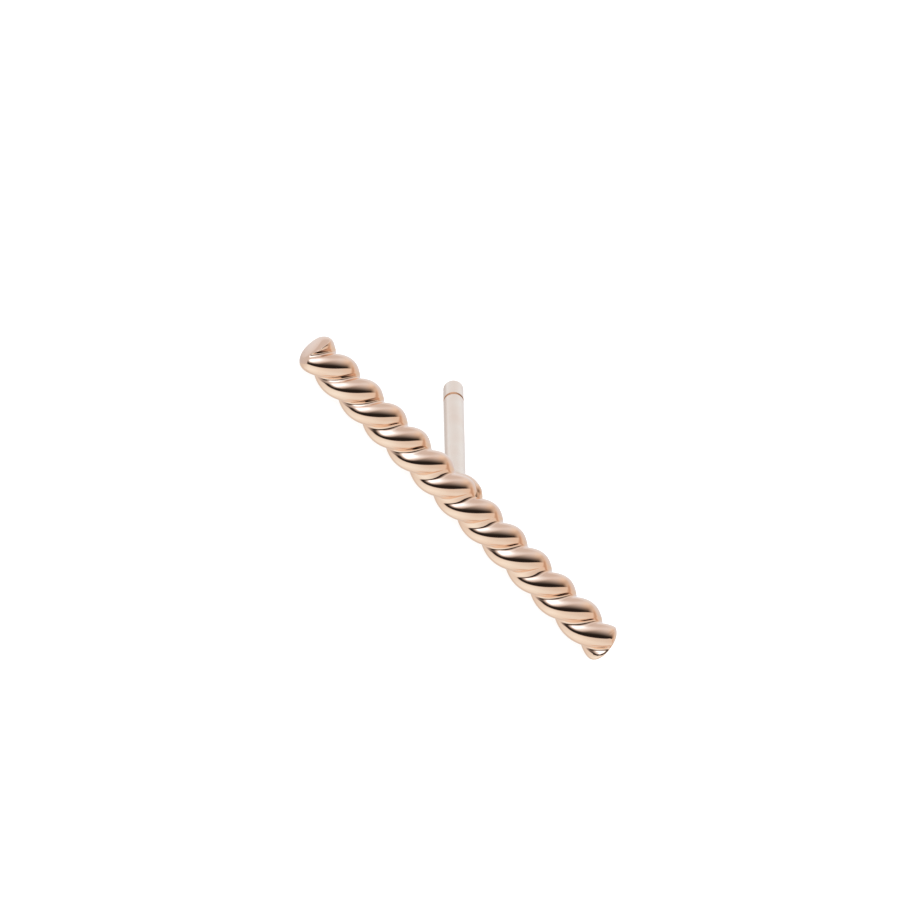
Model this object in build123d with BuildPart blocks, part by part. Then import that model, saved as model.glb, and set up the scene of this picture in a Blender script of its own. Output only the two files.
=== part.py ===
from build123d import *
from math import acos, asin, atan2, cos, degrees, hypot, radians, sin, tan
import os

# A stud earring, one piece of polished metal: a straight bar twisted like rope, whose two rounded ridges wind
# round it with a smooth groove on each side between them, and a plain round post soldered to the middle of
# its back. Millimetres, +Z up.
# It lies as it does by itself. The bar is along X, on its ridges' crests. The post is behind it, along +Y,
# and dips until its tip meets the same surface. The origin is on that surface, under the whole's middle.

# Twisted bar
bar_length = 19.7
bar_radius = 0.935             # from the axis to the crest of a ridge
shoulder_half_width = 0.68     # half the thickness of the section, at its two shoulders
shoulder_from_axis = 0.30      # from the axis to a shoulder, where a ridge turns into a groove
groove_depth = 0.08            # by which a groove's bottom lies below the shoulders on both sides of it
twist_lead = 3.18              # along the bar for one whole turn, which runs to the left
twist_at_post = 6.0            # degrees by which the upper ridge leans forward of upright at the post
near_end_rounding = 0.39       # at the -X end
far_end_rounding = 0.55        # at the +X end
far_end_slant = 6.0            # degrees by which the +X end is cut aslant, shorter at the top

# Post, measured from the crests of the bar
post_radius = 0.45
post_length = 9.5
post_station = -0.25           # along the bar, from its middle
tip_rounding = 0.18
notch_from_tip = 1.4
notch_width = 0.18
notch_depth = 0.06

# Oval seat of solder between the bar and the post
seat_length = 2.0
seat_from_post = 0.35          # along the bar, as the post stands a little off the seat's middle
seat_behind_axis = 0.47
seat_clearance = 0.03          # by which the seat is slimmer than the bar, whose crests carry the stud

# Collar of solder, drawn up round the post in a hollow curve
collar_below_seat_top = 0.10
collar_width = 0.15
collar_curve_radius = 0.5

# Making allowances
trim_allowance = 0.3           # by which the twisted bar runs past each end before the ends are rounded
envelope_margin = 0.02         # by which the rounding envelope clears the crests

# What follows from them
ridge_reach = bar_radius - shoulder_from_axis
waist_half_width = shoulder_half_width - groove_depth
seat_radius = bar_radius - seat_clearance
post_reach = bar_radius + post_length

# The stud rests on the bar's crests and on the rounded edge of the post's tip, which fixes the post's dip
edge_along = post_reach - tip_rounding
edge_below = post_radius - tip_rounding
edge_drop = bar_radius - tip_rounding
post_dip = asin(edge_drop / hypot(edge_along, edge_below)) - atan2(edge_below, edge_along)
back_reach = edge_along * cos(post_dip) + edge_below * sin(post_dip) + tip_rounding
bar_y = (bar_radius - back_reach) / 2
bar_z = bar_radius

bar_start = (-bar_length / 2 - trim_allowance, bar_y, bar_z)
bar_end = (bar_length / 2 + trim_allowance, bar_y, bar_z)
near_end_plane = Plane(origin=(-bar_length / 2, bar_y, bar_z), x_dir=(0, 1, 0), z_dir=(1, 0, 0))
post_direction = Vector(0, cos(post_dip), -sin(post_dip))
post_base = Vector(post_station, bar_y, bar_z)
post_plane = Plane(origin=post_base, x_dir=post_direction, z_dir=(1, 0, 0))
seat_centre = post_base + Vector(seat_from_post, 0, 0) + post_direction * seat_behind_axis

# The section's turn where the sweep starts, so that the upper ridge has its lean at the post
start_turn = radians(twist_at_post + 360 * (post_station - bar_start[0]) / twist_lead)
start_plane = Plane(origin=bar_start, x_dir=(0, -sin(start_turn), cos(start_turn)), z_dir=(1, 0, 0))

# The envelope that rounds over the bar's two ends. The slanted end is longest at the bottom, where it
# reaches bar_length.
slant = radians(far_end_slant)
slant_middle = (bar_length / 2 - (bar_radius - far_end_rounding) * tan(slant), bar_y, bar_z)
envelope_length = bar_length + trim_allowance
with BuildPart(near_end_plane) as envelope:
    Cylinder(bar_radius + envelope_margin, envelope_length, align=(Align.CENTER, Align.CENTER, Align.MIN))
    split(bisect_by=Plane(origin=slant_middle, z_dir=(cos(slant), 0, sin(slant))), keep=Keep.BOTTOM)
    near_rim = envelope.edges().group_by(Axis.X)[0]
    far_rim = envelope.faces().sort_by(Axis.X)[-1].edges()
    fillet(near_rim, radius=near_end_rounding + envelope_margin)
    fillet(far_rim, radius=far_end_rounding + envelope_margin)

# The solder seat, an oval that lies along the bar and is sunk into its back
with BuildPart() as seat:
    with BuildSketch(Plane(origin=seat_centre, x_dir=(1, 0, 0), z_dir=post_direction)):
        with BuildLine():
            EllipticalCenterArc((0, 0), seat_length / 2, seat_radius, arc_size=180)
            Line((-seat_length / 2, 0), (seat_length / 2, 0))
        make_face()
    revolve(axis=Axis(seat_centre, (1, 0, 0)))

# The post, with the collar of solder round its foot, its rounded tip and the notch that a nut clicks into
collar_top = seat_behind_axis + seat_radius - collar_below_seat_top
collar_turn = acos(1 - collar_width / collar_curve_radius)
collar_foot = collar_top - collar_curve_radius * sin(collar_turn)
collar_radius = post_radius + collar_width
collar_arc_centre = (collar_top, post_radius + collar_curve_radius)
tip_arc_centre = (edge_along, edge_below)
tip_end = (post_reach, edge_below)
notch_arc_radius = ((notch_width / 2) ** 2 + notch_depth**2) / (2 * notch_depth)
notch_centre = (post_reach - notch_from_tip, post_radius - notch_depth + notch_arc_radius)
with BuildPart() as post:
    with BuildSketch(post_plane):
        with BuildLine():
            Polyline((collar_foot, collar_radius), (0, post_radius), (0, 0), (post_reach, 0), tip_end)
            CenterArc(tip_arc_centre, tip_rounding, 0, 90)
            Line((edge_along, post_radius), (collar_top, post_radius))
            CenterArc(collar_arc_centre, collar_curve_radius, 270, -degrees(collar_turn))
        make_face()
        with Locations(notch_centre):
            Circle(notch_arc_radius, mode=Mode.SUBTRACT)
    revolve(axis=Axis(post_base, post_direction))

# The twisted bar, trimmed to its rounded ends, with the post and the seat soldered on
with BuildPart() as twisted_bar_stud:
    with BuildSketch(start_plane):
        with BuildLine():
            ridge = (ridge_reach, shoulder_half_width)
            upper = EllipticalCenterArc((shoulder_from_axis, 0), *ridge, start_angle=-90, arc_size=180)
            lower = EllipticalCenterArc((-shoulder_from_axis, 0), *ridge, start_angle=90, arc_size=180)
            Spline(upper @ 1, (0, waist_half_width), lower @ 0, tangents=((-1, 0), (-1, 0)))
            Spline(lower @ 1, (0, -waist_half_width), upper @ 0, tangents=((1, 0), (1, 0)))
        make_face()
    with BuildLine() as axis_line:
        Line(bar_start, bar_end)
    run = bar_end[0] - bar_start[0]
    winding = Edge.make_helix(twist_lead, run, bar_radius, bar_start, normal=(1, 0, 0), lefthand=True)
    sweep(path=axis_line.line, binormal=winding)
    add(envelope.part, mode=Mode.INTERSECT)
    add(post.part)
    add(seat.part)

twisted_bar_stud.part.label = "twisted_bar_stud"
os.makedirs("parts", exist_ok=True)
export_step(twisted_bar_stud.part, "parts/twisted_bar_stud.step")
print(f"bar radius {bar_radius:.3f}, post dip {degrees(post_dip):.2f} degrees")
print(f"volume {twisted_bar_stud.part.volume:.2f}")
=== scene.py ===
import logging
from dataclasses import dataclass
from enum import Enum
from math import acos, asin, atan2, cos, hypot, pi, radians, sin, sqrt, tan
from typing import Any

import bpy
import numpy as np
from mathutils import Matrix, Vector


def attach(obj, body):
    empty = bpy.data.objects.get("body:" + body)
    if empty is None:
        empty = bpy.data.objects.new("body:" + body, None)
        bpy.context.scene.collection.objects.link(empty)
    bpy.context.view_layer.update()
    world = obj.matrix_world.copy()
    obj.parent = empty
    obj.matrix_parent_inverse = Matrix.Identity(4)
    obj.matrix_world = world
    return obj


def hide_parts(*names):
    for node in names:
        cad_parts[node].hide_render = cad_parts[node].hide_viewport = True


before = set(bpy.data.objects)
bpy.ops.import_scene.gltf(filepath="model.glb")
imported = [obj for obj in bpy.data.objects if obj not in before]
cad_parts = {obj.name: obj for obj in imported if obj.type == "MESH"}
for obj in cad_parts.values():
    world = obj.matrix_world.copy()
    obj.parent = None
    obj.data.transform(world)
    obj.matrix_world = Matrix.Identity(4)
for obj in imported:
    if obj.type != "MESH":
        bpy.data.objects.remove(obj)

# A stud earring of polished rose gold: a bar twisted like rope, and a round post soldered to the middle of
# its back. It lies as it does by itself, on the bar's crests and the tip of the post. +X runs along the bar
# and +Y the way that the post points, and the origin is on the surface that it lies on, under its middle.

MM = 0.001                     # the sizes below are in millimetres, Blender's in metres
CAD_NODE = "twisted_bar_stud"
BODY = "root"
WHITE = (1, 1, 1, 1)

log = logging.getLogger("stud")


def linear(hex_colour: str) -> tuple[float, float, float]:
    """Turns an sRGB colour into linear light.

    Args:
        hex_colour: Six hexadecimal digits after a hash sign.
    Returns:
        Red, green and blue, linear.
    """
    parts = [int(hex_colour[i:i + 2], 16) / 255 for i in (1, 3, 5)]
    return tuple(p / 12.92 if p <= 0.04045 else ((p + 0.055) / 1.055) ** 2.4 for p in parts)


def add_node(tree: bpy.types.NodeTree, kind: str, sources: dict[str | int, Any] | None = None,
             **settings: Any) -> bpy.types.Node:
    """Adds one node, with its settings, its values and its links.

    Args:
        tree: Node tree that takes the node.
        kind: Blender's name for the kind of node.
        sources: For each input, by name or number, its value, or the socket or node that feeds it.
        settings: Properties of the node.
    Returns:
        The new node.
    """
    new = tree.nodes.new(kind)
    for key, value in settings.items():
        setattr(new, key, value)
    for key, value in (sources or {}).items():
        if isinstance(value, bpy.types.Node):
            value = next(output for output in value.outputs if output.enabled)
        if isinstance(value, bpy.types.NodeSocket):
            tree.links.new(value, new.inputs[key])
        else:
            new.inputs[key].default_value = value
    return new


def set_ramp(node: bpy.types.Node, stops: list[tuple[float, tuple[float, float, float]]]) -> None:
    """Sets a colour ramp's stops.

    Args:
        node: The colour ramp.
        stops: Each stop's place and linear colour, in order.
    """
    elements = node.color_ramp.elements
    while len(elements) < len(stops):
        elements.new(1.0)
    for element, (place, colour) in zip(elements, stops):
        element.position = place
        element.color = (*colour, 1.0)


def only(obj: bpy.types.Object) -> None:
    """Makes one object the active and the only selected one.

    Args:
        obj: The object.
    """
    bpy.ops.object.select_all(action="DESELECT")
    obj.select_set(True)
    bpy.context.view_layer.objects.active = obj


def pick(obj: bpy.types.Object, chosen: np.ndarray) -> None:
    """Selects vertices in edit mode, and nothing else.

    Args:
        obj: The object that is being edited.
        chosen: True for each vertex to select.
    """
    bpy.ops.object.mode_set(mode="OBJECT")
    mesh = obj.data
    mesh.polygons.foreach_set("select", np.zeros(len(mesh.polygons), dtype=bool))
    mesh.edges.foreach_set("select", np.zeros(len(mesh.edges), dtype=bool))
    mesh.vertices.foreach_set("select", chosen)
    bpy.ops.object.mode_set(mode="EDIT")
    bpy.ops.mesh.select_mode(type="VERT")


def places(obj: bpy.types.Object) -> np.ndarray:
    """Reads where an object's vertices are.

    Args:
        obj: The object, in object mode.
    Returns:
        One row for each vertex, in millimetres in the object's own space.
    """
    flat = np.empty(len(obj.data.vertices) * 3)
    obj.data.vertices.foreach_get("co", flat)
    return flat.reshape(-1, 3) / MM


def put(obj: bpy.types.Object, co: np.ndarray) -> None:
    """Moves an object's vertices, for a shape that no edit operator gives.

    Args:
        obj: The object, in object mode.
        co: One row for each vertex, in millimetres in the object's own space.
    """
    obj.data.vertices.foreach_set("co", (co * MM).ravel())
    obj.data.update()


def spin(co: np.ndarray, angle: np.ndarray) -> None:
    """Turns each point about the X axis, in place.

    Args:
        co: One row for each point.
        angle: Each point's turn, in radians.
    """
    y, z = co[:, 1].copy(), co[:, 2].copy()
    co[:, 1] = y * np.cos(angle) - z * np.sin(angle)
    co[:, 2] = y * np.sin(angle) + z * np.cos(angle)


def raise_rings(rings: list[tuple[float, float]]) -> None:
    """Extrudes the selected ring upwards again and again, scaling it each time, and closes the last one.

    Args:
        rings: Each ring's height and radius in millimetres, with the selected ring's own first.
    """
    for (low, old), (high, new) in zip(rings, rings[1:]):
        bpy.ops.mesh.extrude_region_move(TRANSFORM_OT_translate={"value": (0, 0, (high - low) * MM)})
        bpy.ops.transform.resize(value=(new / old, new / old, 1), center_override=(0, 0, high * MM))
    bpy.ops.mesh.edge_face_add()
    bpy.ops.object.mode_set(mode="OBJECT")


def disc(name: str, points: int, radius: float, height: float) -> bpy.types.Object:
    """Makes a flat disc about the Z axis and selects its ring in edit mode.

    Args:
        name: The object's name.
        points: How many points go round it.
        radius: Its radius in millimetres.
        height: Its height in millimetres.
    Returns:
        The disc.
    """
    bpy.ops.object.select_all(action="DESELECT")
    bpy.ops.mesh.primitive_circle_add(vertices=points, radius=radius * MM, fill_type="NGON",
                                      location=(0, 0, height * MM))
    made = bpy.context.object
    made.name = name
    bpy.ops.object.transform_apply(location=True, rotation=False, scale=False)
    pick(made, np.ones(points, dtype=bool))
    return made


def finish_mesh(obj: bpy.types.Object, join_distance: float = 0.0005) -> None:
    """Merges doubles, turns the faces outwards, smooths the shading and puts the place into the mesh.

    Args:
        obj: The piece.
        join_distance: Vertices nearer than this are merged, in millimetres.
    """
    only(obj)
    bpy.ops.object.mode_set(mode="EDIT")
    bpy.ops.mesh.select_all(action="SELECT")
    bpy.ops.mesh.remove_doubles(threshold=join_distance * MM)
    bpy.ops.mesh.normals_make_consistent(inside=False)
    bpy.ops.object.mode_set(mode="OBJECT")
    bpy.ops.object.transform_apply(location=True, rotation=True, scale=True)
    bpy.ops.object.shade_smooth()


@dataclass(frozen=True)
class RestingPlace:
    """How the stud lies: on the bar's crests and on the rounded edge of the post's tip. Millimetres."""

    bar_radius: float = 0.935
    post_radius: float = 0.45
    post_length: float = 9.5
    post_station: float = -0.25
    tip_rounding: float = 0.18

    @property
    def post_reach(self) -> float:
        """From the bar's axis to the post's tip."""
        return self.bar_radius + self.post_length

    @property
    def dip(self) -> float:
        """The angle by which the post slopes down to its tip.

        Returns:
            The angle in radians.
        """
        along = self.post_reach - self.tip_rounding
        below = self.post_radius - self.tip_rounding
        return asin((self.bar_radius - self.tip_rounding) / hypot(along, below)) - atan2(below, along)

    @property
    def bar_y(self) -> float:
        """Where the bar's axis lies, with the whole centred front to back.

        Returns:
            The place along Y in millimetres.
        """
        along = self.post_reach - self.tip_rounding
        below = self.post_radius - self.tip_rounding
        back = along * cos(self.dip) + below * sin(self.dip) + self.tip_rounding
        return (self.bar_radius - back) / 2

    @property
    def foot(self) -> Vector:
        """The point on the bar's axis where the post stands."""
        return Vector((self.post_station, self.bar_y, self.bar_radius))

    def stand(self, piece: bpy.types.Object) -> None:
        """Puts a piece that was made upright about the origin on the bar, along the post.

        Args:
            piece: The piece.
        """
        piece.location = self.foot * MM
        piece.rotation_euler = (-pi / 2 - self.dip, 0, 0)


class EndName(Enum):
    """The bar's two ends."""

    NEAR = -1
    FAR = 1


@dataclass(frozen=True)
class BarEnd:
    """How one end of the bar is rounded over and cut. Millimetres and degrees."""

    side: EndName
    rounding: float
    slant: float
    doming: float

    def setback(self, radius: np.ndarray, height: np.ndarray, bar_radius: float) -> np.ndarray:
        """How far inside the bar's full length the end's surface lies.

        Args:
            radius: Distance from the bar's axis.
            height: Height above the bar's axis.
            bar_radius: The crests' radius.
        Returns:
            The distance from the full length, for each point.
        """
        flat = bar_radius - self.rounding
        over = np.clip(radius - flat, 0.0, self.rounding)
        curve = self.rounding - np.sqrt(self.rounding**2 - over**2)
        lean = tan(radians(self.slant)) * (height + flat)
        return curve + lean + self.doming * (radius / bar_radius) ** 2


@dataclass(frozen=True)
class RoseGold:
    """14-karat rose gold, whose copper gives a pink peach mirror.

    Polishing leaves faint long waves and fine hairlines, which blur the mirror a little. The hairlines are
    drawn coarser than real ones, which are too fine to show. Each span is the part of its noise over which
    the tint or the roughness changes.
    """

    name: str
    colour: str
    warm_colour: str
    roughness: float
    roughness_spread: float
    wave_mm: float = 1.1
    wave_depth_mm: float = 0.004
    wave_strength: float = 0.25
    wave_span: tuple[float, float] = (0.35, 0.7)
    hairline_mm: float = 0.05
    hairline_span: tuple[float, float] = (0.35, 0.75)

    def material(self) -> bpy.types.Material:
        """Makes the material.

        Returns:
            The material, on Object coordinates in metres.
        """
        made = bpy.data.materials.new(self.name)
        made.use_nodes = True
        tree = made.node_tree
        tree.nodes.clear()
        spot = add_node(tree, "ShaderNodeTexCoord").outputs["Object"]
        waves = add_node(tree, "ShaderNodeTexNoise", {"Vector": spot, "Scale": 1 / (self.wave_mm * MM)})
        tint = add_node(tree, "ShaderNodeValToRGB", {"Fac": waves})
        set_ramp(tint, list(zip(self.wave_span, (linear(self.colour), linear(self.warm_colour)))))
        hairlines = add_node(tree, "ShaderNodeTexNoise", {
            "Vector": spot, "Scale": 1 / (self.hairline_mm * MM), "Detail": 3.0})
        rough = add_node(tree, "ShaderNodeMapRange", {
            "Value": hairlines, "From Min": self.hairline_span[0], "From Max": self.hairline_span[1],
            "To Min": self.roughness, "To Max": self.roughness + self.roughness_spread})
        bump = add_node(tree, "ShaderNodeBump", {
            "Height": waves, "Strength": self.wave_strength, "Distance": self.wave_depth_mm * MM})
        shader = add_node(tree, "ShaderNodeBsdfPrincipled", {
            "Base Color": tint, "Metallic": 1.0, "Roughness": rough, "Normal": bump})
        add_node(tree, "ShaderNodeOutputMaterial", {"Surface": shader})
        return made


# Mirror polish on the bar: crisp dark and light bands on every ridge
POLISHED = RoseGold("rose_gold_mirror_polished", "#F7D9C3", "#F5D2BA", 0.045, 0.03)
# Drawn wire, left with a soft satin that runs its reflections together; its tint is paler than the bar's, a
# painted sheen for the post's brighter, washed-out reflection
DRAWN_WITH_PAINTED_SHEEN = RoseGold("rose_gold_drawn_wire_painted_sheen", "#FAEADA", "#F8E3D1", 0.16, 0.06)
# The notch's faces: a darker orange brown than the shaft, and rougher
NOTCH_DARKER_ROUGHER = RoseGold("rose_gold_notch_darker_rougher", "#E2B08C", "#DAA57F", 0.35, 0.10)
# Solder that has flowed and been polished with the bar
SOLDER = RoseGold("rose_gold_solder_flowed_and_polished", "#F5D6BF", "#F2CFB5", 0.06, 0.05, wave_mm=0.5)


# Half the bar's thickness at the bottom of each groove that faces forward, by its place along the bar
GROOVES = [(-9.6, 0.60), (-8.01, 0.605), (-6.42, 0.61), (-4.83, 0.655), (-3.24, 0.635), (-1.84, 0.705),
           (-0.26, 0.70), (1.31, 0.71), (3.12, 0.645), (4.54, 0.71), (6.3, 0.635), (7.89, 0.64), (9.48, 0.61)]
# Degrees by which the sections are turned against the even twist, by their place along the bar
UNEVEN_TWIST = [(-9.6, -5.0), (-8.01, -0.5), (-6.42, -4.5), (-4.83, -4.0), (-3.24, -11.5), (-1.65, -13.0),
                (-0.06, -15.5), (1.53, -13.5), (3.12, -13.0), (4.71, -8.0), (6.3, -5.5), (7.89, 0.0),
                (9.48, 22.0)]


@dataclass
class TwistedBar:
    """The bar, whose two rounded ridges wind round it with a smooth groove on each side. Millimetres."""

    place: RestingPlace
    finish: RoseGold = POLISHED
    length: float = 19.69           # this and the crest stay a hair inside the CAD body
    crest: float = 0.9345
    shoulder_half_width: float = 0.68
    shoulder_from_axis: float = 0.30
    waist_half_width: float = 0.60
    lead: float = 3.18
    twist_at_post: float = 6.0
    groove_spread: float = 0.55
    twist_samples: int = 200
    blur_samples: int = 13
    blur_passes: int = 3
    end_zone: float = 1.3
    edge_softening: tuple[float, ...] = (0.12, 0.09, 0.06, 0.036)      # distances from the rim, one a pass
    softening_passes: int = 4
    points_round: int = 128
    rings_along: int = 560
    rim_rings: int = 14
    face_rings: int = 10
    near_end: BarEnd = BarEnd(EndName.NEAR, 0.39, 0.0, 0.12)
    far_end: BarEnd = BarEnd(EndName.FAR, 0.46, 8.0, 0.02)

    def inside(self, ahead: float, aside: float) -> bool:
        """Tells whether a point lies in the section, of two half ellipses joined by two hollow curves.

        Args:
            ahead: The point's distance from the axis towards a crest.
            aside: Its distance from the line through both crests.
        Returns:
            True if it does.
        """
        if ahead >= self.shoulder_from_axis:
            reach = self.crest - self.shoulder_from_axis
            return hypot((ahead - self.shoulder_from_axis) / reach, aside / self.shoulder_half_width) < 1
        share = ahead / self.shoulder_from_axis
        swell = (self.shoulder_half_width - self.waist_half_width) * (3 - 2 * share) * share * share
        return aside < self.waist_half_width + swell

    def outline(self, angle: float, halvings: int = 40) -> float:
        """Finds the section's distance from the axis, by halving the gap that it lies in.

        Args:
            angle: Angle from the crest, in radians.
            halvings: How often the gap is halved.
        Returns:
            The distance in millimetres.
        """
        low, high = 0.0, 2 * self.crest
        for _ in range(halvings):
            middle = (low + high) / 2
            if self.inside(middle * abs(cos(angle)), middle * abs(sin(angle))):
                low = middle
            else:
                high = middle
        return low

    def turn_at(self, x: float | np.ndarray) -> float | np.ndarray:
        """How far the upper ridge leans forward of upright at a place along the bar, in radians."""
        return np.radians(self.twist_at_post + 360 * (self.place.post_station - x) / self.lead)

    def ring(self) -> bpy.types.Object:
        """Makes the section, a circle pressed into its two ridges and two grooves.

        Returns:
            The ring, with its crests up and down, at the bar's near end.
        """
        bpy.ops.object.select_all(action="DESELECT")
        centre = Vector((0, self.place.bar_y, self.place.bar_radius)) * MM
        bpy.ops.mesh.primitive_circle_add(vertices=self.points_round, radius=MM, fill_type="NOTHING",
                                          location=centre, rotation=(0, pi / 2, 0))
        ring = bpy.context.object
        ring.name = "twisted_bar"
        bpy.ops.object.transform_apply(location=False, rotation=True, scale=False)
        co = places(ring)
        # Rounded, so that the four points of equal angle are shaped together
        angle = np.round(np.degrees(np.arctan2(np.abs(co[:, 1]), np.abs(co[:, 2]))), 3)
        for one in np.unique(angle):
            pick(ring, angle == one)
            bpy.ops.transform.resize(value=[self.outline(radians(one))] * 3, center_override=centre)
        bpy.ops.mesh.select_all(action="SELECT")
        bpy.ops.transform.translate(value=(-self.length / 2 * MM, 0, 0))
        bpy.ops.object.mode_set(mode="OBJECT")
        return ring

    def wind(self, ring: bpy.types.Object) -> None:
        """Winds the section along the bar.

        Args:
            ring: The section, which becomes the bar, with its axis through its origin.
        """
        only(ring)
        ring.rotation_euler = (self.turn_at(-self.length / 2), 0, 0)
        screw = ring.modifiers.new("winding", "SCREW")
        screw.axis = "X"
        screw.angle = -2 * pi * self.length / self.lead
        screw.screw_offset = self.length * MM
        screw.steps = screw.render_steps = self.rings_along
        screw.use_merge_vertices = False
        bpy.ops.object.modifier_apply(modifier=screw.name)
        bpy.ops.object.transform_apply(location=False, rotation=True, scale=False)

    def fill_grooves(self, bar: bpy.types.Object) -> None:
        """Raises the grooves' bottoms here and there, as no two of them are equally deep.

        Args:
            bar: The wound bar, with its axis through its origin.
        """
        co = places(bar)
        lean = self.turn_at(co[:, 0])
        ahead = co[:, 2] * np.cos(lean) - co[:, 1] * np.sin(lean)
        aside = co[:, 2] * np.sin(lean) + co[:, 1] * np.cos(lean)
        fill = sum((waist - self.waist_half_width) * np.exp(-((co[:, 0] - x) / self.groove_spread) ** 2)
                   for x, waist in GROOVES)
        share = np.clip(np.abs(ahead) / self.shoulder_from_axis, 0, 1)
        shift = np.sign(aside) * fill * (1 - (3 - 2 * share) * share**2)
        co[:, 1] += shift * np.cos(lean)
        co[:, 2] += shift * np.sin(lean)
        put(bar, co)

    def ease_twist(self, bar: bpy.types.Object) -> None:
        """Turns the sections a little against the even winding, as the twist was made by hand.

        Args:
            bar: The wound bar, with its axis through its origin.
        """
        co = places(bar)
        knots, turns = zip(*UNEVEN_TWIST)
        samples = np.linspace(knots[0], knots[-1], self.twist_samples)
        soft = np.interp(samples, knots, turns)
        blur = np.ones(self.blur_samples) / self.blur_samples
        for _ in range(self.blur_passes):
            soft = np.convolve(np.pad(soft, self.blur_samples // 2, mode="edge"), blur, mode="valid")
        spin(co, np.radians(np.interp(co[:, 0], samples, soft)))
        put(bar, co)

    def press_end(self, bar: bpy.types.Object, end: BarEnd) -> None:
        """Presses the winding's last rings on to the end's rounded surface, so that they stop at it.

        Args:
            bar: The wound bar, with its axis through its origin.
            end: The end to shape.
        """
        co = places(bar)
        sign = end.side.value
        share = np.clip(1 - (self.length / 2 - sign * co[:, 0]) / self.end_zone, 0, 1) ** 2
        radius = np.hypot(co[:, 1], co[:, 2])
        shift = share * end.setback(radius, co[:, 2], self.crest)
        co[:, 0] -= sign * shift
        # Turned as well, so that the moved rings still follow the winding
        spin(co, 2 * pi * shift * sign / self.lead)
        put(bar, co)

    def close_end(self, bar: bpy.types.Object, end: BarEnd) -> None:
        """Closes an end with a softly domed face of shrinking rings, and rounds its edge.

        Args:
            bar: The bar, pressed to the end's surface.
            end: The end to close.
        """
        sign = end.side.value
        count = len(bar.data.vertices)
        rim = self.open_ring(bar, end)
        loose = np.zeros(count, dtype=bool)
        loose[rim] = True
        pick(bar, loose)
        centre = Vector((sign * self.length / 2, self.place.bar_y, self.place.bar_radius)) * MM
        flat = self.crest - end.rounding
        sizes = [(flat + end.rounding * cos(pi / 2 * k / self.rim_rings)) / self.crest
                 for k in range(1, self.rim_rings + 1)]
        # The last ring is half a step wide, and is filled
        sizes += [sizes[-1] * (1 - k / (self.face_rings + 0.5)) for k in range(1, self.face_rings + 1)]
        scale = 1.0
        for wanted in sizes:
            bpy.ops.mesh.extrude_region_move(TRANSFORM_OT_translate={"value": (0, 0, 0)})
            bpy.ops.transform.resize(value=(1, wanted / scale, wanted / scale), center_override=centre)
            scale = wanted
        bpy.ops.mesh.edge_face_add()
        bpy.ops.object.mode_set(mode="OBJECT")
        co = places(bar)
        radius = np.hypot(co[count:, 1], co[count:, 2])
        co[count:, 0] = sign * (self.length / 2 - end.setback(radius, co[count:, 2], self.crest))
        put(bar, co)
        reach = 2 * end.rounding + self.edge_softening[0]
        close = np.flatnonzero(np.abs(co[:, 0] - sign * self.length / 2) < reach)
        gap = np.full(len(co), np.inf)
        gap[close] = np.min(np.linalg.norm(co[close, None, :] - co[None, rim, :], axis=2), axis=1)
        for width in self.edge_softening:
            pick(bar, gap < width)
            bpy.ops.mesh.vertices_smooth(factor=0.5, repeat=self.softening_passes)
        bpy.ops.object.mode_set(mode="OBJECT")

    def open_ring(self, bar: bpy.types.Object, end: BarEnd) -> np.ndarray:
        """Finds the open ring of vertices at one end.

        Args:
            bar: The bar.
            end: The end to look at.
        Returns:
            The ring's vertex numbers.
        """
        edges = np.empty(len(bar.data.edges) * 2, dtype=np.int64)
        bar.data.edges.foreach_get("vertices", edges)
        edges = edges.reshape(-1, 2)
        loops = np.empty(len(bar.data.loops), dtype=np.int64)
        bar.data.loops.foreach_get("edge_index", loops)
        uses = np.bincount(loops, minlength=len(edges))
        rims = np.unique(edges[uses == 1])
        return rims[places(bar)[rims, 0] * end.side.value > 0]

    def build(self) -> bpy.types.Object:
        """Makes the whole bar.

        Returns:
            The finished piece.
        """
        bar = self.ring()
        self.wind(bar)
        self.fill_grooves(bar)
        self.ease_twist(bar)
        for end in (self.near_end, self.far_end):
            self.press_end(bar, end)
        for end in (self.near_end, self.far_end):
            self.close_end(bar, end)
        finish_mesh(bar)
        self.dress(bar)
        return bar

    def dress(self, bar: bpy.types.Object) -> None:
        """Polishes the bar."""
        bar.data.materials.append(self.finish.material())


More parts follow.
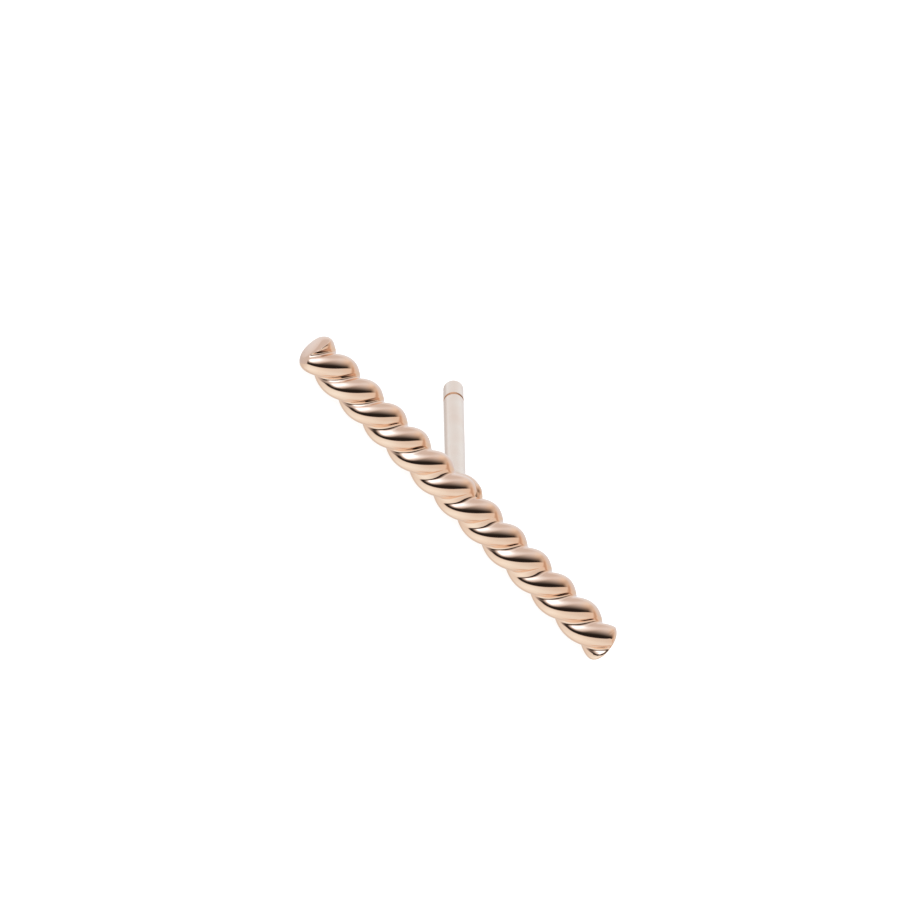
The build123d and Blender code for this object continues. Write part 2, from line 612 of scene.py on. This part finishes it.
@dataclass
class EarPost:
    """The round post, with its rounded tip and the notch that a nut clicks into. Millimetres."""

    place: RestingPlace
    finish: RoseGold = DRAWN_WITH_PAINTED_SHEEN
    notch_finish: RoseGold = NOTCH_DARKER_ROUGHER
    root: float = 0.55
    notch_from_tip: float = 1.4
    notch_width: float = 0.18
    notch_depth: float = 0.06
    notch_guards: tuple[float, float] = (0.03, 0.008)      # rings beside the notch keep its edges crisp
    notch_margin: float = 0.009                            # by which its dull colour runs past its edges
    plain_before: float = 0.25
    plain_after: float = 0.5
    plain_at_tip: float = 0.1
    tip_shares: tuple[float, ...] = (0.8, 0.5, 0.2)        # of the tip's flat radius
    points_round: int = 96
    shaft_rings: int = 10
    curve_points: int = 12

    def profile(self) -> list[tuple[float, float]]:
        """The post's outline from its root in the bar to its tip.

        Returns:
            Each point's distance along the post from the bar's axis, and its radius.
        """
        radius, reach, tip = self.place.post_radius, self.place.post_reach, self.place.tip_rounding
        notch, half = reach - self.notch_from_tip, self.notch_width / 2
        bend = (half**2 + self.notch_depth**2) / (2 * self.notch_depth)
        shaft = notch - self.plain_before - self.root
        points = [(self.root + shaft * i / self.shaft_rings, radius) for i in range(self.shaft_rings)]
        points += [(notch - half - guard, radius) for guard in self.notch_guards]
        for i in range(self.curve_points + 1):
            off = self.notch_width * (i / self.curve_points - 0.5)
            points.append((notch + off, radius - self.notch_depth + bend - sqrt(bend**2 - off**2)))
        points += [(notch + half + guard, radius) for guard in reversed(self.notch_guards)]
        points += [(notch + self.plain_after, radius), (reach - tip - self.plain_at_tip, radius)]
        for i in range(self.curve_points + 1):
            turn = pi / 2 * i / self.curve_points
            points.append((reach - tip + tip * sin(turn), radius - tip + tip * cos(turn)))
        return points + [(reach, (radius - tip) * share) for share in self.tip_shares]

    def build(self) -> bpy.types.Object:
        """Makes the post by extruding and scaling a ring along it.

        Returns:
            The finished piece.
        """
        rings = self.profile()
        post = disc("ear_post", self.points_round, rings[0][1], rings[0][0])
        raise_rings(rings)
        self.dress(post)
        self.place.stand(post)
        finish_mesh(post)
        return post

    def dress(self, post: bpy.types.Object) -> None:
        """Gives the shaft its satin and its paler tint, a painted sheen, and the notch its darker, rougher
        faces.

        Args:
            post: The post, while it still stands upright on its root.
        """
        post.data.materials.append(self.finish.material())
        post.data.materials.append(self.notch_finish.material())
        notch = self.place.post_reach - self.notch_from_tip
        for face in post.data.polygons:
            if abs(face.center.z / MM - notch) < self.notch_width / 2 + self.notch_margin:
                face.material_index = 1


@dataclass
class SolderSeat:
    """The oval of solder behind the bar, drawn up round the foot of the post. Millimetres."""

    place: RestingPlace
    finish: RoseGold = SOLDER
    length: float = 2.0
    from_post: float = 0.35
    behind_axis: float = 0.47
    clearance: float = 0.03
    collar_below_top: float = 0.10
    collar_width: float = 0.15
    collar_curve: float = 0.5
    collar_rings: int = 8
    lip_place: tuple[float, float, float] = (0.47, -0.51, 0.374)       # in drop's directions
    lip_length: float = 1.04
    lip_radius: float = 0.42
    voxel: float = 0.028
    softening_passes: int = 8
    points_round: int = 64

    def drop(self, centre: tuple[float, float, float], length: float, radius: float) -> bpy.types.Object:
        """Makes one drop of solder, drawn out along the bar.

        Args:
            centre: Its middle, along the bar, down and along the post from the post's foot.
            length: Its length along the bar.
            radius: Its radius the other ways.
        Returns:
            The drop.
        """
        bpy.ops.object.select_all(action="DESELECT")
        bpy.ops.mesh.primitive_uv_sphere_add(segments=self.points_round, ring_count=self.points_round // 2,
                                             radius=MM, location=Vector(centre) * MM)
        made = bpy.context.object
        made.scale = (length / 2, radius, radius)
        bpy.ops.object.transform_apply(location=True, rotation=False, scale=True)
        return made

    def collar(self, top: float) -> bpy.types.Object:
        """Makes the collar, which runs into the post in a hollow curve.

        Args:
            top: Where the curve meets the post, along the post from the bar's axis.
        Returns:
            The collar.
        """
        sweep = acos(1 - self.collar_width / self.collar_curve)
        rings = [(self.behind_axis, self.place.post_radius + self.collar_width)]
        for i in range(self.collar_rings + 1):
            turn = sweep * (1 - i / self.collar_rings)
            rings.append((top - self.collar_curve * sin(turn),
                          self.place.post_radius + self.collar_curve * (1 - cos(turn))))
        made = disc("collar", self.points_round, rings[0][1], rings[0][0])
        raise_rings(rings)
        return made

    def build(self) -> bpy.types.Object:
        """Makes the oval, its lip and the collar, and fuses and softens them as one.

        Returns:
            The finished piece.
        """
        radius = self.place.bar_radius - self.clearance
        lip = self.drop(self.lip_place, self.lip_length, self.lip_radius)
        seat = self.drop((self.from_post, 0, self.behind_axis), self.length, radius)
        seat.name = "solder_seat"
        collar = self.collar(self.behind_axis + radius - self.collar_below_top)
        only(seat)
        lip.select_set(True)
        collar.select_set(True)
        bpy.ops.object.join()
        fusing = seat.modifiers.new("fusing", "REMESH")
        fusing.mode = "VOXEL"
        fusing.voxel_size = self.voxel * MM
        bpy.ops.object.modifier_apply(modifier=fusing.name)
        softening = seat.modifiers.new("softening", "SMOOTH")
        softening.iterations = self.softening_passes
        bpy.ops.object.modifier_apply(modifier=softening.name)
        self.place.stand(seat)
        finish_mesh(seat, 0.0)
        self.dress(seat)
        return seat

    def dress(self, seat: bpy.types.Object) -> None:
        """Polishes the solder."""
        seat.data.materials.append(self.finish.material())


# The tent's linear colour for each level, before its strength: a little brown up to the lower middle tones,
# and cooler from there to the white of the lamp
TENT_TONES = [(0.0, (0.0025, 0.002, 0.0015)), (0.015, (0.020, 0.0165, 0.0145)), (0.10, (0.146, 0.132, 0.120)),
              (0.20, (0.29, 0.272, 0.260)), (0.25, (0.355, 0.338, 0.325)), (0.30, (0.408, 0.415, 0.42)),
              (0.385, (0.480, 0.530, 0.555)), (0.44, (0.58, 0.67, 0.75)), (0.50, (0.85, 0.90, 0.98))]


class Step(Enum):
    """The kinds of step in the tent's table: Blender's name, the inputs in order and the settings of each."""

    ADD = ("ShaderNodeMath", (0, 1), {"operation": "ADD"})
    SUBTRACT = ("ShaderNodeMath", (0, 1), {"operation": "SUBTRACT"})
    MULTIPLY = ("ShaderNodeMath", (0, 1), {"operation": "MULTIPLY"})
    DIVIDE = ("ShaderNodeMath", (0, 1), {"operation": "DIVIDE"})
    MULTIPLY_ADD = ("ShaderNodeMath", (0, 1, 2), {"operation": "MULTIPLY_ADD"})
    EXPONENT = ("ShaderNodeMath", (0,), {"operation": "EXPONENT"})
    ROOT = ("ShaderNodeMath", (0,), {"operation": "SQRT"})
    EASE = ("ShaderNodeMapRange", ("Value", "From Min", "From Max", "To Min", "To Max"),
            {"interpolation_type": "SMOOTHSTEP"})
    MIX = ("ShaderNodeMix", (0, 2, 3), {"data_type": "FLOAT"})
    MIX_COLOUR = ("ShaderNodeMix", (0, 6, 7), {"data_type": "RGBA"})


@dataclass(frozen=True)
class LightTent:
    """The soft tent of light that the metal mirrors, laid out as on a mirror ball in front of the camera.

    Across runs to the camera's right and up to its top, from the ball's middle to its edge. Each level is the
    brightness seen in the metal, and the tent's own light is twice as strong as its colours.
    """

    top: float = 0.62
    left: float = 0.50
    lamp: float = 0.85
    dark: float = 0.012
    rim: float = 0.52
    wall: float = 0.64
    strength: float = 2.0

    def steps(self) -> list[tuple[Any, ...]]:
        """Lists the tent's pattern, step by step.

        Returns:
            For each step its name, its kind, and its terms: numbers, or the names of earlier steps.
        """
        return [
            # Where the direction falls on the mirror ball
            ("size_squared", Step.MULTIPLY_ADD, "z", 2.0, 2.0001),        # never nought, as it is divided by
            ("size", Step.ROOT, "size_squared"),
            ("across", Step.DIVIDE, "x", "size"),
            ("up", Step.DIVIDE, "y", "size"),
            ("square", Step.MULTIPLY, "across", "across"),
            ("outward", Step.MULTIPLY_ADD, "up", "up", "square"),
            ("diagonal", Step.SUBTRACT, "across", "up"),
            # How far above the dark band's two bowed borders
            ("band_slope", Step.MULTIPLY_ADD, "across", 0.20, -0.035),
            ("band_line", Step.MULTIPLY_ADD, "square", -0.15, "band_slope"),
            ("above_band", Step.SUBTRACT, "up", "band_line"),
            ("edge_slope", Step.MULTIPLY_ADD, "across", 0.03, -0.275),
            ("edge_line", Step.MULTIPLY_ADD, "square", 0.26, "edge_slope"),
            ("above_edge", Step.SUBTRACT, "up", "edge_line"),
            # Over the band: a slow rise on the right, a lamp on the left
            ("right_lift", Step.EASE, "across", 0.20, 0.75, 0.0, 0.10),
            ("above_right", Step.ADD, "above_band", "right_lift"),
            ("slow_rise", Step.EASE, "above_right", -0.07, 0.58, self.dark, self.top),
            ("lamp_side", Step.EASE, "diagonal", -0.46, -0.34, 0.0, 1.0),
            ("lamp_foot", Step.EASE, "up", 0.60, 0.12, 0.0, 1.0),
            ("lamp_share", Step.MULTIPLY, "lamp_side", "lamp_foot"),
            ("lamp_full", Step.MULTIPLY_ADD, "lamp_share", self.lamp, self.left),
            ("lamp_end", Step.EASE, "across", -0.20, -0.44, 0.0, 1.0),
            ("lamp_tip", Step.EASE, "above_band", 0.05, 0.25, 0.04, 0.48),
            ("lamp", Step.MIX, "lamp_end", "lamp_full", "lamp_tip"),
            ("quick_rise", Step.EASE, "above_band", -0.03, 0.09, self.dark, "lamp"),
            ("right_share", Step.EASE, "diagonal", -0.36, 0.02, 0.0, 1.0),
            ("both_rises", Step.MIX, "right_share", "quick_rise", "slow_rise"),
            ("right_end", Step.EASE, "across", 0.66, 0.82, 0.0, 1.0),
            ("right_level", Step.EASE, "across", 0.70, 0.95, 0.42, 0.55),
            ("to_the_right", Step.MIX, "right_end", "both_rises", "right_level"),
            ("left_end", Step.EASE, "across", -0.48, -0.74, 0.0, 1.0),
            ("over", Step.MIX, "left_end", "to_the_right", 0.48),
            # Under it: light, and brightest on the left
            ("glow_x", Step.MULTIPLY_ADD, "across", 2.2, 0.77),
            ("glow_y", Step.MULTIPLY_ADD, "up", 4.0, 1.8),
            ("glow_x_squared", Step.MULTIPLY, "glow_x", "glow_x"),
            ("glow_spread", Step.MULTIPLY_ADD, "glow_y", "glow_y", "glow_x_squared"),
            ("glow_fall", Step.MULTIPLY, "glow_spread", -1.0),
            ("glow", Step.EXPONENT, "glow_fall"),
            ("under_rise", Step.EASE, "up", -0.40, -0.65, 0.56, 0.65),
            ("under", Step.MULTIPLY_ADD, "glow", 0.20, "under_rise"),
            ("under_share", Step.EASE, "above_edge", 0.03, -0.03, 0.0, 1.0),
            ("both", Step.MIX, "under_share", "over", "under"),
            # A dark arc at the lower right
            ("arc_side", Step.EASE, "diagonal", 0.60, 0.95, 0.0, 0.8),
            ("arc_inside", Step.EASE, "outward", 0.60, 0.66, 0.0, 1.0),
            ("arc_outside", Step.EASE, "outward", 0.76, 0.68, 0.0, 1.0),
            ("arc_width", Step.MULTIPLY, "arc_inside", "arc_outside"),
            ("arc", Step.MULTIPLY, "arc_side", "arc_width"),
            ("in_front", Step.MIX, "arc", "both", 0.27),
            # Behind the stud: a pale back wall, whiter to the right, seen in surfaces that face up or away
            ("wall_right", Step.EASE, "across", 0.6, 0.95, self.wall, 0.57),
            ("wall", Step.EASE, "across", -0.85, -0.60, 0.46, "wall_right"),
            ("wall_share", Step.EASE, "up", -0.30, 0.20, 0.0, 1.0),
            ("back", Step.MIX, "wall_share", self.rim, "wall"),
            ("back_share", Step.EASE, "outward", 0.68, 0.88, 0.0, 1.0),
            ("with_back", Step.MIX, "back_share", "in_front", "back"),
            ("rim_share", Step.EASE, "outward", 0.985, 0.999, 0.0, 1.0),
            ("level", Step.MIX, "rim_share", "with_back", self.rim),
            ("weak_level", Step.MULTIPLY, "level", 1 / self.strength),
            # Tints: cool over the band, neutral under it, warm on the right
            ("cool", Step.MIX_COLOUR, "under_share", (0.98, 1.0, 1.06, 1), (1.02, 1.0, 0.96, 1)),
            ("warm_side", Step.EASE, "across", 0.45, 0.72, 0.0, 1.0),
            ("warm_front", Step.EASE, "outward", 0.88, 0.66, 0.0, 1.0),
            ("warm_right", Step.MULTIPLY, "warm_side", "warm_front"),
            ("warm_share", Step.ADD, "warm_right", "arc"),
            ("warm", Step.MIX_COLOUR, "warm_share", "cool", (1.07, 0.97, 0.88, 1)),
            ("tint", Step.MIX_COLOUR, "arc", "warm", (1.30, 0.96, 0.74, 1)),
        ]

    def build(self, axes: tuple[Vector, Vector, Vector]) -> None:
        """Makes the world.

        Args:
            axes: The tent's own directions, fixed in the world: right, up and towards the camera.
        """
        world = bpy.data.worlds.new("light_tent")
        bpy.context.scene.world = world
        world.use_nodes = True
        tree = world.node_tree
        tree.nodes.clear()
        ray = add_node(tree, "ShaderNodeTexCoord").outputs["Generated"]
        made: dict[str, Any] = {}
        for name, axis in zip("xyz", axes):
            made[name] = add_node(tree, "ShaderNodeVectorMath", {0: ray, 1: axis}, operation="DOT_PRODUCT")
        for name, kind, *terms in self.steps():
            blender_name, inputs, settings = kind.value
            sources = {key: made.get(term, term) if isinstance(term, str) else term
                       for key, term in zip(inputs, terms)}
            made[name] = add_node(tree, blender_name, sources, **settings)
        tone = add_node(tree, "ShaderNodeValToRGB", {"Fac": made["weak_level"]})
        set_ramp(tone, TENT_TONES)
        tinted = add_node(tree, "ShaderNodeMix", {0: 1.0, 6: tone, 7: made["tint"]}, data_type="RGBA",
                          blend_type="MULTIPLY")
        mirrored = add_node(tree, "ShaderNodeBackground", {"Color": tinted, "Strength": self.strength})
        plain = add_node(tree, "ShaderNodeBackground", {"Color": WHITE})
        seen = add_node(tree, "ShaderNodeLightPath").outputs["Is Camera Ray"]
        both = add_node(tree, "ShaderNodeMixShader", {0: seen, 1: mirrored, 2: plain})
        add_node(tree, "ShaderNodeOutputWorld", {"Surface": both})


@dataclass(frozen=True)
class Studio:
    """The pale floor, the light that whitens it, and the camera, whose view follows from how the bar is seen.

    Tilt is the bar's slope away from the camera, angle its slope down the picture and roll the post's turn
    about it, all in degrees. Distances are in metres.
    """

    place: RestingPlace
    tilt: float = 20.0
    roll: float = 17.86
    angle: float = 45.34
    pixels_per_mm: float = 22.9
    post_foot_pixel: tuple[float, float] = (455.9, 494.25)
    picture_pixels: float = 900.0
    distance: float = 1.0
    clip_shares: tuple[float, float] = (0.1, 10.0)
    sensor_mm: float = 36.0
    floor_radius: float = 4.0
    floor_points: int = 96
    floor_drop_mm: float = 0.01
    floor_tone: float = 0.35
    floor_glow: float = 0.86
    overhead_energy: float = 3.0
    overhead_spread: float = 120.0

    def axes(self) -> tuple[Vector, Vector, Vector]:
        """The camera's right, up and backward directions in the world.

        Returns:
            The three directions.
        """
        tilt, roll, angle = radians(self.tilt), radians(self.roll), radians(self.angle)
        bar = Vector((cos(angle) * cos(tilt), -sin(angle) * cos(tilt), -sin(tilt)))
        side = Vector((sin(angle), cos(angle), 0))
        front = bar.cross(side)
        post = -front * cos(roll) + side * sin(roll)
        lift = bar.cross(post)
        dip = self.place.dip
        world_y = post * cos(dip) + lift * sin(dip)
        world_z = -post * sin(dip) + lift * cos(dip)
        return tuple(Vector((bar[i], world_y[i], world_z[i])).normalized() for i in range(3))

    def camera(self) -> None:
        """Places the camera at the photograph's angle."""
        right, up, back = self.axes()
        middle = self.picture_pixels / 2
        to_right = (middle - self.post_foot_pixel[0]) / self.pixels_per_mm
        to_top = (self.post_foot_pixel[1] - middle) / self.pixels_per_mm
        centre = (self.place.foot + right * to_right + up * to_top) * MM
        data = bpy.data.cameras.new("camera")
        data.sensor_width = self.sensor_mm
        data.lens = self.sensor_mm * self.distance / (self.picture_pixels / self.pixels_per_mm * MM)
        data.clip_start, data.clip_end = (share * self.distance for share in self.clip_shares)
        made = bpy.data.objects.new("camera", data)
        bpy.context.scene.collection.objects.link(made)
        turn = Matrix((right, up, back)).transposed().to_4x4()
        made.matrix_world = Matrix.Translation(centre + back * self.distance) @ turn
        bpy.context.scene.camera = made

    def floor(self) -> None:
        """Lays the plain pale floor, which the metal doesn't mirror, and lights it."""
        bpy.ops.object.select_all(action="DESELECT")
        bpy.ops.mesh.primitive_circle_add(vertices=self.floor_points, radius=self.floor_radius,
                                          fill_type="NGON", location=(0, 0, -self.floor_drop_mm * MM))
        floor = bpy.context.object
        floor.name = "floor"
        floor.visible_glossy = False
        made = bpy.data.materials.new("pale_floor")
        made.use_nodes = True
        tree = made.node_tree
        tree.nodes.clear()
        shader = add_node(tree, "ShaderNodeBsdfPrincipled", {
            "Base Color": (self.floor_tone, self.floor_tone, self.floor_tone, 1), "Roughness": 1.0,
            "Specular IOR Level": 0.0, "Emission Color": WHITE, "Emission Strength": self.floor_glow})
        add_node(tree, "ShaderNodeOutputMaterial", {"Surface": shader})
        floor.data.materials.append(made)
        lamp = bpy.data.lights.new("overhead", "SUN")
        lamp.energy = self.overhead_energy
        lamp.angle = radians(self.overhead_spread)
        overhead = bpy.data.objects.new("overhead", lamp)
        overhead.visible_glossy = False
        bpy.context.scene.collection.objects.link(overhead)

    def build(self) -> None:
        """Sets up the view, the camera, the tent and the floor."""
        scene = bpy.context.scene
        scene.view_settings.view_transform = "Standard"
        scene.view_settings.look = "None"
        self.camera()
        LightTent().build(self.axes())
        self.floor()


def declare(piece: bpy.types.Object) -> None:
    """Tells the frame what a piece is.

    Args:
        piece: The finished piece.
    """
    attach(piece, BODY)
    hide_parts(CAD_NODE)
    log.info("%s: %d faces", piece.name, len(piece.data.polygons))


def main() -> None:
    """Builds the stud's pieces in order, then the studio."""
    logging.basicConfig(level=logging.INFO, format="%(name)s %(message)s")
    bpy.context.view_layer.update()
    place = RestingPlace()
    for maker in (TwistedBar(place), EarPost(place), SolderSeat(place)):
        declare(maker.build())
    Studio(place).build()


if __name__ == "__main__":
    main()
